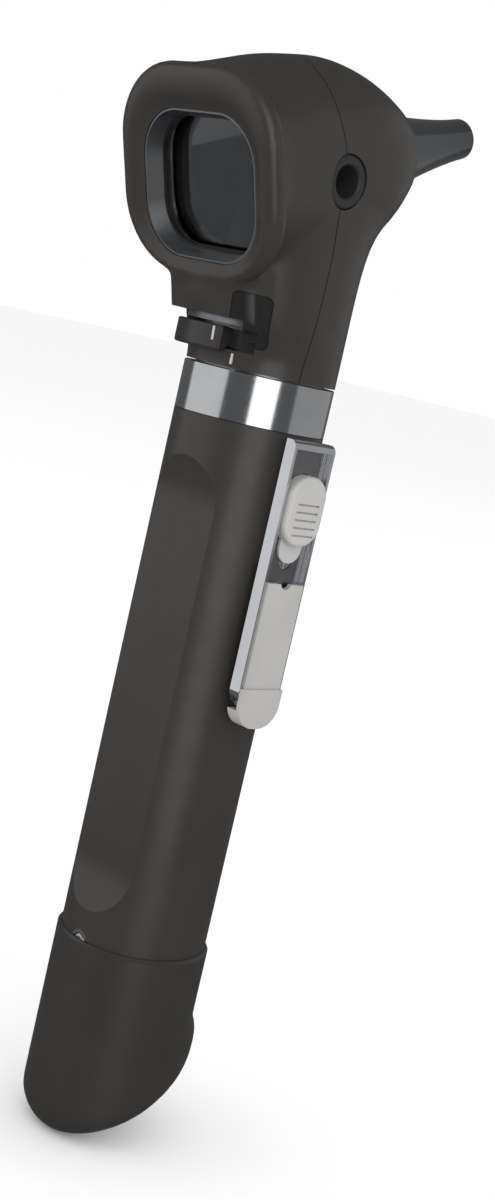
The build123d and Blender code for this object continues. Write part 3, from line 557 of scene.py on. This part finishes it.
nose_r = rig.box("speculum")[1].x / MM + 0.3
cut(shell, turned_on(TO_OPTICAL, "nose_bore", [(0, NOSE_BORE[0]), (nose_r, NOSE_BORE[0]),
                                               (nose_r, NOSE_BORE[1]), (0, NOSE_BORE[1])]))
flange_r = (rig.box("insufflator_port")[1].y - PORT_POINT.y) / MM + 0.08
cut(shell, turned_on(TO_PORT, "port_bore", [
    (0, 0), (PORT_BORE_R, 0), (PORT_BORE_R, PORT_STEP), (flange_r, PORT_STEP),
    (flange_r, OUTSIDE_R), (0, OUTSIDE_R)]))
report(shell)

# %% [markdown]
# ## Parting the shells
#
# The two shells meet in a plane through the port, which leans back with the optical axis above
# it. The gap between them is a fraction of a millimetre, and it is what draws the fine dark line
# over the head.

# %% Split along the seam
SEAM_Y = PORT_POINT.y / MM
SEAM_BEND = SEAT_MM + 28.0
SEAM_GAP = 0.16
FINE = 0.004                              # merge distance after a boolean


def front_half(shift):
    lower = block("front_half", (-WIDE, WIDE), (SEAM_Y + shift, FAR), (SEAT_MM - 10, SEAM_BEND))
    corner = TO_OPTICAL.inverted() @ Vector((0, (SEAM_Y + shift) * MM, SEAM_BEND * MM))
    ahead = corner.z / MM
    upper = place(block("leaning", (-WIDE - 1, WIDE + 1), (-FAR, FAR), (ahead, FAR)), TO_OPTICAL)
    return cut(lower, upper, "UNION")


rear = copy_of(shell, "rear_shell")
cut(rear, front_half(-SEAM_GAP))
front = shell
front.name = "front_shell"
cut(front, front_half(0), "INTERSECT")
for piece in (rear, front, badge):
    clean(piece, FINE)
    smooth(piece)
    report(piece)
badge.name = "badge"
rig.replaces(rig.ride(rear, "head"), "head_rear_shell")
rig.replaces(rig.ride(front, "head"), "head_front_shell")
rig.replaces(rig.ride(badge, "head"), "badge_plate")
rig.slot(rear, "body_plastic")
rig.slot(front, "body_plastic")
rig.slot(badge, "badge_black")

# %% [markdown]
# ## The lock lever
#
# The lever is a thin ring inside the neck with a tab that sticks out of the slot. The tab is a
# soft black moulding without a sharp edge, so it is a sector of a ring, melted, with a lip that
# hangs a little over the shell. The ring is joined on afterwards and keeps its sharp edges.

# %% Build the lever
TAB_SPAN = (-135.5, -74.5)
TAB_R = 13.1
LIP_R = HANDLE_R / MM + 0.2
LIP_DROP = 0.75
TAB_VOXEL = 0.16


def build_lever():
    tab = sector("lever", SPIGOT_R + 0.2, TAB_R, lever_low, lever_high, *TAB_SPAN)
    cut(tab, sector("lip", LIP_R, TAB_R, lever_low - LIP_DROP, lever_high + 0.1, *TAB_SPAN), "UNION")
    melt(tab, TAB_VOXEL, MELT_PASSES)
    ring = turned("lever_ring", [(SPIGOT_R, lever_low), (RING_R, lever_low),
                                 (RING_R, lever_high), (SPIGOT_R, lever_high)])
    return clean(cut(tab, ring, "UNION"), FINE)


lever = smooth(build_lever())
report(lever)
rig.replaces(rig.ride(lever, "lever"), "lock_lever")
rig.slot(lever, "lever_plastic")


# %% [markdown]
# ## The tail cap
#
# The cap is a turned cylinder whose end is sliced off on a slant, with a low ridge for the
# finger at the front. The ridge is a second cylinder set a little forward. Melting the two
# together gives the slow S-curve of the moulding and the round nose at the back.

# %% Build the tail cap
CAP_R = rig.box("tail_cap")[1].x / MM
CAP_BORE_R = CAP_R - 1.4
CAP_CAVITY = 14.2
CAP_FLOOR = 17.2
CAP_SLANT = radians(38.0)
CAP_END_DROP = 26.4
BOWL_R = 14.5
BOWL_ROUND = 9.5
CAP_SHRINK = 0.12                         # what the smoothing takes off the radius
RIDGE_SHIFT = 1.35
RIDGE_TOP = 12.0
BLANK_END = -48                           # the blanks run on below the slanted end
SPRING_BORE_R = 6.35
CAP_PASSES = 34


def cap_envelope():
    """Bowl that is sheared until its bottom has the cap's slant: round at the nose, tight at the heel."""
    depth = -CAP_END_DROP
    turns = [(BOWL_R - BOWL_ROUND * (1 - cos(t)), depth + BOWL_ROUND * (1 - sin(t)))
             for t in (radians(5 * i) for i in range(19))]
    bowl = turned("bowl", [(0, 30)] + [(BOWL_R, 30)] + turns + [(0, depth)])
    shift = BOWL_R - CAP_R
    slope = tan(CAP_SLANT)
    bowl.data.transform(Matrix((
        (1, 0, 0, 0), (0, 1, 0, shift * MM), (0, slope, 1, shift * slope * MM), (0, 0, 0, 1))))
    return bowl


def build_cap():
    outer = CAP_R + CAP_SHRINK
    barrel = turned("cap", [(0, PAST), (outer, PAST), (outer, BLANK_END), (0, BLANK_END)])
    ridge = turned("ridge", [(0, -RIDGE_TOP), (outer - 0.6, -RIDGE_TOP), (outer, -RIDGE_TOP - 1.6),
                             (outer, BLANK_END), (0, BLANK_END)])
    place(ridge, Matrix.Translation((0, RIDGE_SHIFT * MM, 0)))
    cap = cut(barrel, ridge, "UNION")
    cut(cap, cap_envelope(), "INTERSECT")
    melt(cap, VOXEL, CAP_PASSES)
    cut(cap, block("above_rim", (-30, 30), (-30, 30), (0, 20)))
    cut(cap, turned("rim_bevel", [(CAP_R - 0.45, 0.1), (CAP_R + 1, 0.1), (CAP_R + 1, -1.1),
                                  (CAP_R - 0.02, -0.42), (CAP_R - 0.16, -0.12)]))
    for name, bore_r, floor_depth in (("cap_bore", CAP_BORE_R, CAP_CAVITY),
                                      ("spring_bore", SPRING_BORE_R, CAP_FLOOR)):
        cut(cap, turned(name, [(0, -floor_depth), (bore_r, -floor_depth), (bore_r, PAST), (0, PAST)]))
    cut(cap, block("catch_pocket", (-2.0, 2.0), (-HANDLE_R / MM - 0.06, 0), (-2.5, 1)))
    return clean(cap, FINE)


cap = smooth(build_cap())
report(cap)
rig.replaces(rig.ride(cap, "tail_cap"), "tail_cap")
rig.slot(cap, "cap_plastic")

# %% [markdown]
# ## Finishes
#
# Every finish is a small node tree: noise on Object coordinates breaks up the colour and the
# roughness, and a finer noise lifts a grain through Bump. Values that are the same all over sit
# on the shader's own sockets.

# %% Tools for finishes
def finish_of(name, colour, rough, metallic=0.0, coat=0.0, specular=0.5):
    """New material with a Principled shader whose constant sockets are set."""
    material = bpy.data.materials.new(name)
    material.use_nodes = True
    shader = material.node_tree.nodes["Principled BSDF"]
    shader.inputs["Base Color"].default_value = (*colour, 1)
    shader.inputs["Roughness"].default_value = rough
    shader.inputs["Metallic"].default_value = metallic
    shader.inputs["Coat Weight"].default_value = coat
    shader.inputs["Coat Roughness"].default_value = 0.12
    shader.inputs["Specular IOR Level"].default_value = specular
    return material


def add(material, kind, **values):
    node = material.node_tree.nodes.new(kind)
    for key, value in values.items():
        if key in node.inputs:
            node.inputs[key].default_value = value
        else:
            setattr(node, key, value)
    return node


def link(material, source, target):
    material.node_tree.links.new(source, target)


def noise_on(material, scale, stretch=(1, 1, 1), detail=3.0):
    """Noise in the piece's own coordinates; stretch squeezes it along an axis."""
    coordinates = add(material, "ShaderNodeTexCoord")
    mapping = add(material, "ShaderNodeMapping")
    mapping.inputs["Scale"].default_value = stretch
    noise = add(material, "ShaderNodeTexNoise", Scale=scale, Detail=detail)
    link(material, coordinates.outputs["Object"], mapping.inputs["Vector"])
    link(material, mapping.outputs["Vector"], noise.inputs["Vector"])
    return noise.outputs["Fac"]


def vary_colour(material, fac, dark, light):
    ramp = add(material, "ShaderNodeValToRGB")
    ramp.color_ramp.elements[0].position = 0.35
    ramp.color_ramp.elements[0].color = (*dark, 1)
    ramp.color_ramp.elements[1].position = 0.65
    ramp.color_ramp.elements[1].color = (*light, 1)
    link(material, fac, ramp.inputs["Fac"])
    link(material, ramp.outputs["Color"], material.node_tree.nodes["Principled BSDF"].inputs["Base Color"])


def vary_roughness(material, fac, low, high):
    spread = add(material, "ShaderNodeMapRange")
    spread.inputs["From Min"].default_value = 0.35
    spread.inputs["From Max"].default_value = 0.65
    spread.inputs["To Min"].default_value = low
    spread.inputs["To Max"].default_value = high
    link(material, fac, spread.inputs["Value"])
    link(material, spread.outputs["Result"], material.node_tree.nodes["Principled BSDF"].inputs["Roughness"])


def lift_grain(material, fac, strength, depth):
    bump = add(material, "ShaderNodeBump", Strength=strength, Distance=depth * MM)
    link(material, fac, bump.inputs["Height"])
    link(material, bump.outputs["Normal"], material.node_tree.nodes["Principled BSDF"].inputs["Normal"])


# %% [markdown]
# ## Plastics
#
# A mould is spark-eroded to a fine matt skin, and the plastic copies it. So each plastic has a
# fine grain in its Bump, a gloss that wanders by a few hundredths and a colour that hardly moves.

# %% Moulded plastics
def moulded(name, colour, rough, grain=0.25, depth=0.012, scale=5200, coat=0.0):
    """Plastic from a spark-eroded mould: a fine even grain with slightly uneven gloss."""
    material = finish_of(name, colour, rough, coat=coat)
    cloud = noise_on(material, 90)
    vary_colour(material, cloud, [c * 0.95 for c in colour], [c * 1.05 for c in colour])
    vary_roughness(material, noise_on(material, 420, detail=5), rough * 0.94, min(1.0, rough * 1.06))
    lift_grain(material, noise_on(material, scale, detail=2), grain, depth)
    return material


body_finish = moulded("satin_dark_shell", (0.0300, 0.0262, 0.0228), 0.36)
cap_finish = moulded("satin_dark_cap", (0.0270, 0.0240, 0.0212), 0.38)
lever_finish = moulded("lever_black", (0.020, 0.018, 0.017), 0.32)
badge_finish = moulded("badge_gloss_black", (0.012, 0.012, 0.012), 0.20, grain=0.05)
cover_finish = moulded("cover_grey", (0.36, 0.355, 0.345), 0.42)
slider_finish = moulded("slider_grey", (0.39, 0.385, 0.375), 0.45)
white_finish = moulded("white_print", (0.42, 0.42, 0.40), 0.5, grain=0.1)
rubber_finish = moulded("soft_black_rubber", (0.020, 0.020, 0.020), 0.62, depth=0.02, scale=3500)
black_gloss_finish = moulded("window_frame_black", (0.010, 0.010, 0.011), 0.30, grain=0.05)
liner_finish = moulded("liner_card", (0.55, 0.52, 0.45), 0.8)
speculum_finish = moulded("speculum_smoke", (0.022, 0.023, 0.025), 0.16, grain=0.04, coat=0.6)


# %% [markdown]
# ## Metals
#
# Turned and drawn metal keeps the lines of the tool. The same noise, squeezed along one direction,
# draws rings round a turned part or long lines down a drawn one.

# %% Metals
def turned_metal(name, colour, rough, stretch, strength=0.1, scale=900, depth=0.004):
    """Metal with fine tool lines: noise squeezed along one direction."""
    material = finish_of(name, colour, rough, metallic=1.0)
    lines = noise_on(material, scale, stretch=stretch, detail=4)
    vary_roughness(material, lines, rough * 0.75, rough * 1.3)
    lift_grain(material, lines, strength, depth)
    cloud = noise_on(material, 160)
    vary_colour(material, cloud, [c * 0.93 for c in colour], colour)
    return material


ROUND_LINES = (0.25, 0.25, 14)
LONG_LINES = (14, 14, 0.25)
collar_finish = turned_metal("collar_polished_steel", (0.62, 0.63, 0.64), 0.13, ROUND_LINES, 0.05)
chrome_finish = turned_metal("clip_chrome", (0.74, 0.75, 0.77), 0.10, LONG_LINES, 0.03)
track_finish = turned_metal("track_satin_steel", (0.33, 0.33, 0.34), 0.34, LONG_LINES, 0.12)
bezel_finish = turned_metal("bezel_grey_metal", (0.42, 0.43, 0.44), 0.42, ROUND_LINES, 0.08)
sleeve_finish = turned_metal("sleeve_grey_metal", (0.30, 0.31, 0.32), 0.34, ROUND_LINES, 0.10)
screw_finish = turned_metal("machined_steel", (0.55, 0.55, 0.56), 0.25, ROUND_LINES, 0.10)
spring_finish = turned_metal("spring_wire", (0.60, 0.60, 0.61), 0.22, LONG_LINES, 0.08)
brass_finish = turned_metal("plated_brass", (0.72, 0.52, 0.22), 0.26, LONG_LINES, 0.08)
cell_finish = turned_metal("cell_sleeve", (0.20, 0.22, 0.27), 0.32, LONG_LINES, 0.04)
sink_finish = turned_metal("heat_sink_aluminium", (0.60, 0.61, 0.62), 0.35, ROUND_LINES, 0.12)

# %% [markdown]
# Glass bends light, so the lens, the fibres and the lamp's dome use transmission. A faint noise in
# the roughness keeps the lens from looking like a perfect computer mirror.


# %% Glass
def clear(name, tint, rough, transmission=1.0, ior=1.5):
    material = finish_of(name, tint, rough)
    shader = material.node_tree.nodes["Principled BSDF"]
    shader.inputs["Transmission Weight"].default_value = transmission
    shader.inputs["IOR"].default_value = ior
    vary_roughness(material, noise_on(material, 300), rough, rough + 0.03)
    return material


lens_finish = clear("lens_glass", (0.55, 0.58, 0.62), 0.02)
fibre_finish = clear("fibre_glass", (0.92, 0.94, 0.95), 0.08)
lamp_finish = clear("lamp_dome", (0.95, 0.90, 0.70), 0.15, transmission=0.5)

# %% [markdown]
# ## Who wears what
#
# One table says which piece has which finish, so that a piece without one is easy to find.

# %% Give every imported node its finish
NODE_FINISH = {
    body_finish: ("handle_tube", "head_rear_shell", "head_front_shell"),
    cap_finish: ("tail_cap",),
    collar_finish: ("collar",),
    cell_finish: ("cell_lower", "cell_upper"),
    liner_finish: ("cell_liner",),
    rubber_finish: ("cap_seal", "lens_gasket", "insufflator_port"),
    screw_finish: ("catch_bush", "catch_pin", "clip_screws", "head_screws"),
    spring_finish: ("catch_spring", "tail_spring"),
    chrome_finish: ("clip_channel",),
    track_finish: ("clip_track",),
    cover_finish: ("clip_cover",),
    slider_finish: ("switch_slider",),
    brass_finish: ("contact_strip", "tail_contact", "switch_wiper", "lamp_contact_pin"),
    badge_finish: ("badge_plate",),
    white_finish: ("shell_index_mark", "lever_index_mark", "port_pipe", "lamp_insulator"),
    bezel_finish: ("eyepiece_bezel",),
    black_gloss_finish: ("lens_frame",),
    lens_finish: ("viewing_lens",),
    sleeve_finish: ("tip_holder", "neck_sleeve"),
    fibre_finish: ("fibre_ring", "light_guide"),
    sink_finish: ("heat_sink",),
    lamp_finish: ("led_module",),
    lever_finish: ("lock_lever",),
    speculum_finish: ("speculum",),
}


def dress(piece, material):
    piece.data.materials.clear()
    piece.data.materials.append(material)


for material, names in NODE_FINISH.items():
    for name in names:
        dress(frame["nodes"][name], material)
for piece, material in ((rear, body_finish), (front, body_finish), (badge, badge_finish),
                        (cap, cap_finish), (lever, lever_finish)):
    dress(piece, material)
print(len(bpy.data.materials), "finishes")

# %% [markdown]
# ## Camera
#
# The camera stands a quarter metre away, a little above the object and turned to the port side,
# rolled so that the handle leans.

# %% Camera
VIEW_AZIMUTH = radians(43.0)
VIEW_ELEVATION = 0.150067
VIEW_ROLL = 0.226227
VIEW_DISTANCE = 0.25224
VIEW_LENS = 51.644                        # focal length on a 36 mm wide sensor
TARGET_SIDE = 5.5586                      # where the camera looks: to the right of the axis
TARGET_DROP = 32.36                       # and under the head's seat
right = Vector((cos(VIEW_AZIMUTH), sin(VIEW_AZIMUTH), 0))
back = Vector((sin(VIEW_AZIMUTH) * cos(VIEW_ELEVATION), -cos(VIEW_AZIMUTH) * cos(VIEW_ELEVATION),
               sin(VIEW_ELEVATION)))
above = back.cross(right)
target = right * TARGET_SIDE * MM + Vector((0, 0, SEAT - TARGET_DROP * MM))
side_axis = right * cos(VIEW_ROLL) + above * sin(VIEW_ROLL)
top_axis = above * cos(VIEW_ROLL) - right * sin(VIEW_ROLL)
eye = target + back * VIEW_DISTANCE
bpy.ops.object.camera_add()
camera = bpy.context.object
camera.name = "camera"
camera.matrix_world = Matrix((
    (side_axis.x, top_axis.x, back.x, eye.x), (side_axis.y, top_axis.y, back.y, eye.y),
    (side_axis.z, top_axis.z, back.z, eye.z), (0, 0, 0, 1)))
camera.data.lens = VIEW_LENS
camera.data.sensor_width = 36
camera.data.clip_start = 0.01
camera.data.clip_end = 20
bpy.context.scene.camera = camera

# %% [markdown]
# ## Floor and lights
#
# The studio has a pale floor just under the cap, an even white glow that lights matt surfaces
# from all round, and three softboxes. Reflections see a dim room instead of the glow, so the
# polished collar shows dark bands between the softboxes, as metal does in a studio.

# %% Floor and lights
FLOOR_DROP = 0.5
FLOOR_SIZE = 12                           # metres, so that its edge is far away
SOFTBOXES = (                             # name, azimuth, elevation, distance, size, brightness
    ("strip_key", 59, 12, 0.9, 0.62, 1.1, 1.75),
    ("wide_fill", -37, 14, 1.1, 1.6, 1.2, 0.62),
    ("side_fill", 150, 18, 1.1, 2.2, 1.0, 0.24))
GLOW = 1.0                                # what matt surfaces and the camera see
DIM_ROOM = 0.12                           # what reflections see

floor_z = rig.box("tail_cap")[0].z - FLOOR_DROP * MM
bpy.ops.mesh.primitive_plane_add(size=FLOOR_SIZE, location=(0, 0, floor_z))
floor = name_it("floor")
place(floor)
floor_finish = finish_of("pale_floor", (0.93, 0.93, 0.93), 0.7, specular=0.0)
vary_roughness(floor_finish, noise_on(floor_finish, 3), 0.65, 0.75)
dress(floor, floor_finish)
floor.visible_glossy = False
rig.stage(floor)


def soft_light(name, azimuth, elevation, distance, width, tall, brightness):
    """Rectangular softbox that looks at the middle of the object, as bright as white paper is 1."""
    a, e = radians(azimuth), radians(elevation)
    away = Vector((sin(a) * cos(e), -cos(a) * cos(e), sin(e)))
    middle = Vector((0, 0, 0.6 * SEAT))
    bpy.ops.object.light_add(type="AREA", location=middle + away * distance)
    lamp = bpy.context.object
    lamp.name = name
    lamp.data.shape = "RECTANGLE"
    lamp.data.size = width
    lamp.data.size_y = tall
    lamp.data.energy = brightness * pi * width * tall
    lamp.rotation_euler = (-away).to_track_quat("-Z", "Y").to_euler()
    return lamp


for softbox in SOFTBOXES:
    soft_light(*softbox)
world = bpy.data.worlds.new("studio")
bpy.context.scene.world = world
world.use_nodes = True
world.cycles.sampling_method = "NONE"
room = world.node_tree
glow = room.nodes["Background"]
glow.inputs["Color"].default_value = (1, 1, 1, 1)
glow.inputs["Strength"].default_value = GLOW
dim = room.nodes.new("ShaderNodeBackground")
dim.inputs["Color"].default_value = (0.93, 0.96, 1, 1)
dim.inputs["Strength"].default_value = DIM_ROOM
rays = room.nodes.new("ShaderNodeLightPath")
either = room.nodes.new("ShaderNodeMixShader")
room.links.new(rays.outputs["Is Glossy Ray"], either.inputs["Fac"])
room.links.new(glow.outputs["Background"], either.inputs[1])
room.links.new(dim.outputs["Background"], either.inputs[2])
room.links.new(either.outputs["Shader"], room.nodes["World Output"].inputs["Surface"])
bpy.context.scene.view_settings.view_transform = "Standard"

# %% Finish
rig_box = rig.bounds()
for label, corners in (("CAD", cad_box), ("dressed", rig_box)):
    print(label, [[round(c / MM, 2) for c in corner] for corner in corners])
with open("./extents.json", "w") as report_file:
    json.dump({"cad": [list(c) for c in cad_box], "visual": [list(c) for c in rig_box]}, report_file)
triangles = sum(len(p.vertices) - 2 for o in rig.pieces() for p in o.data.polygons)
print(len(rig.pieces()), "pieces,", triangles, "triangles")
